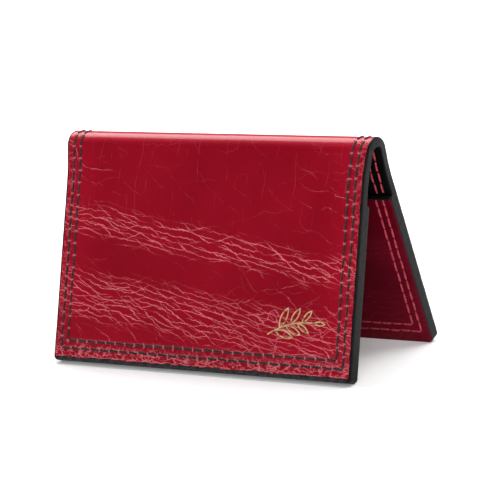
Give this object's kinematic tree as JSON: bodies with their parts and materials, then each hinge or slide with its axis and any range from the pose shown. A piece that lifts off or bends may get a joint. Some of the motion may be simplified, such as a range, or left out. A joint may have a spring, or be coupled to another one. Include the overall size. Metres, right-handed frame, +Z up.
{
  "type": "card holder",
  "caption": "Bifold card holder in stiff glazed leather, standing as a tent, with twin stitch rows, painted edges and an inner pocket on each panel.",
  "frame": {"origin": "centre of the footprint, on the surface the case stands on", "axes": "+X along the fold, +Y from the front panel towards the rear panel, +Z up"},
  "size_m": [0.109, 0.051, 0.0683],
  "materials": {
    "cover_leather": "glossy glazed leather with a fine pale crackle",
    "pocket_leather": "satin glazed leather",
    "black_lining": "fine-grained matt leather",
    "edge_paint": "charcoal edge paint, slightly mottled",
    "dark_thread": "twisted waxed thread",
    "red_thread": "twisted waxed thread",
    "gold_foil": "hot-pressed metallic foil"
  },
  "bodies": {
    "spine": {"spine_cover": "cover_leather", "spine_lining": "black_lining", "spine_edge_coat": "edge_paint", "spine_outer_row_thread": "dark_thread", "spine_inner_row_thread": "dark_thread", "spine_outer_row_bobbin": "red_thread", "spine_inner_row_bobbin": "red_thread"},
    "front_panel": {"front_cover": "cover_leather", "front_lining": "black_lining", "front_pocket": "pocket_leather", "front_pocket_mouth_coat": "edge_paint", "front_edge_coat": "edge_paint", "front_outer_row_thread": "dark_thread", "front_inner_row_thread": "dark_thread", "front_outer_row_bobbin": "red_thread", "front_inner_row_bobbin": "red_thread", "foil_emblem": "gold_foil"},
    "rear_panel": {"rear_cover": "cover_leather", "rear_lining": "black_lining", "rear_pocket": "pocket_leather", "rear_pocket_mouth_coat": "edge_paint", "rear_edge_coat": "edge_paint", "rear_outer_row_thread": "dark_thread", "rear_inner_row_thread": "dark_thread", "rear_outer_row_bobbin": "red_thread", "rear_inner_row_bobbin": "red_thread"}
  },
  "joints": [
    {"name": "front_fold", "type": "hinge", "parent": "spine", "child": "front_panel", "pos_m": [0, -0.00226, 0.06609], "axis": [-1, 0, 0], "range_deg": [-17.5, 72], "deforming": ["spine_cover", "spine_lining", "spine_edge_coat", "spine_outer_row_thread", "spine_inner_row_thread", "spine_outer_row_bobbin", "spine_inner_row_bobbin"]},
    {"name": "rear_fold", "type": "hinge", "parent": "spine", "child": "rear_panel", "pos_m": [0, 0.00226, 0.06609], "axis": [1, 0, 0], "range_deg": [-17.5, 72]}
  ],
  "couplings": [
    {"joint": "rear_fold", "follows": "front_fold", "ratio": 1}
  ]
}
